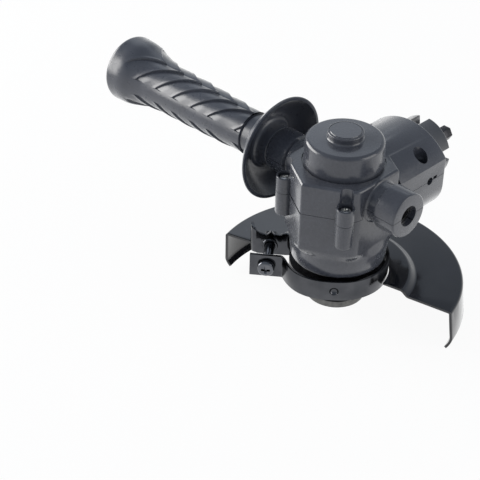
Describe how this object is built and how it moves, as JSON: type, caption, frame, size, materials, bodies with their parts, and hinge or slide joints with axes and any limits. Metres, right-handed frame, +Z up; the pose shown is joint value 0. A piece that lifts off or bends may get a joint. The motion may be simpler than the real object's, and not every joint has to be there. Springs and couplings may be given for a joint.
{
  "type": "drill angle grinder adapter",
  "caption": "Right-angle grinder head driven by a drill chuck: split plastic gear housing, hex input shank, pressed steel wheel guard with clamp band, flange and nut, and screw-in side handle.",
  "frame": {"origin": "centre of the lower end face of the spindle", "axes": "+Z up along the spindle, +Y along the drill shaft towards the drill, -X along the side handle"},
  "size_m": [0.2041, 0.1079, 0.097],
  "materials": {
    "housing_plastic": "fine-textured black nylon",
    "nose_plastic": "satin black nylon",
    "handle_plastic": "fine-textured blue-black nylon",
    "guard_paint": "gloss black paint on pressed steel",
    "black_steel": "blackened steel",
    "zinc_steel": "bright zinc plate",
    "bearing_steel": "ground steel",
    "flange_steel": "machined steel, lightly oiled",
    "bronze": "sintered bronze",
    "seal_rubber": "nitrile rubber"
  },
  "bodies": {
    "gearcase": {"upper_housing": "housing_plastic", "lower_housing": "housing_plastic", "front_screw_left": "zinc_steel", "front_screw_right": "zinc_steel", "barrel_screw_left": "zinc_steel", "barrel_screw_right": "zinc_steel", "handle_nut_left": "zinc_steel", "handle_nut_right": "zinc_steel", "guard_collar": "black_steel", "collar_screw_1": "zinc_steel", "collar_screw_2": "zinc_steel", "collar_screw_3": "zinc_steel", "dust_seal": "seal_rubber", "spindle_top_bush": "bronze", "spindle_bearing_outer_ring": "bearing_steel", "spindle_bearing_cage": "bearing_steel", "front_bearing_outer_ring": "bearing_steel", "front_bearing_cage": "bearing_steel", "rear_bearing_outer_ring": "bearing_steel", "rear_bearing_cage": "bearing_steel", "nose_sleeve": "nose_plastic"},
    "spindle": {"spindle": "bearing_steel", "spindle_pinion": "bearing_steel", "spindle_bearing_inner_ring": "bearing_steel", "inner_flange": "flange_steel"},
    "flange_nut": {"flange_nut": "flange_steel"},
    "drive": {"input_shaft": "black_steel", "crown_wheel": "bearing_steel", "front_bearing_inner_ring": "bearing_steel", "rear_bearing_inner_ring": "bearing_steel", "input_spacer": "black_steel", "input_circlip": "black_steel"},
    "guard": {"wheel_guard": "guard_paint", "clamp_band": "guard_paint", "clamp_nut": "black_steel"},
    "clamp_screw": {"clamp_screw": "black_steel"},
    "handle": {"handle_core": "handle_plastic", "handle_stud": "zinc_steel", "grip_sleeve": "handle_plastic", "handle_end_cap": "handle_plastic"}
  },
  "joints": [
    {"name": "input_spin", "type": "hinge", "parent": "gearcase", "child": "drive", "pos_m": [0, 0, 0.0625], "axis": [0, 1, 0], "continuous": true},
    {"name": "spindle_spin", "type": "hinge", "parent": "gearcase", "child": "spindle", "pos_m": [0, 0, 0], "axis": [0, 0, 1], "continuous": true},
    {"name": "flange_nut_turn", "type": "hinge", "parent": "spindle", "child": "flange_nut", "pos_m": [0, 0, 0], "axis": [0, 0, 1], "continuous": true},
    {"name": "guard_swing", "type": "hinge", "parent": "gearcase", "child": "guard", "pos_m": [0, 0, 0.025], "axis": [0, 0, 1], "continuous": true},
    {"name": "clamp_screw_turn", "type": "hinge", "parent": "guard", "child": "clamp_screw", "pos_m": [-0.01919, -0.02733, 0.0246], "axis": [0.6198, -0.7848, 0], "continuous": true},
    {"name": "handle_turn", "type": "hinge", "parent": "gearcase", "child": "handle", "pos_m": [-0.0381, 0, 0.0686], "axis": [1, 0, 0], "continuous": true}
  ],
  "couplings": [
    {"joint": "spindle_spin", "follows": "input_spin", "ratio": 2}
  ]
}
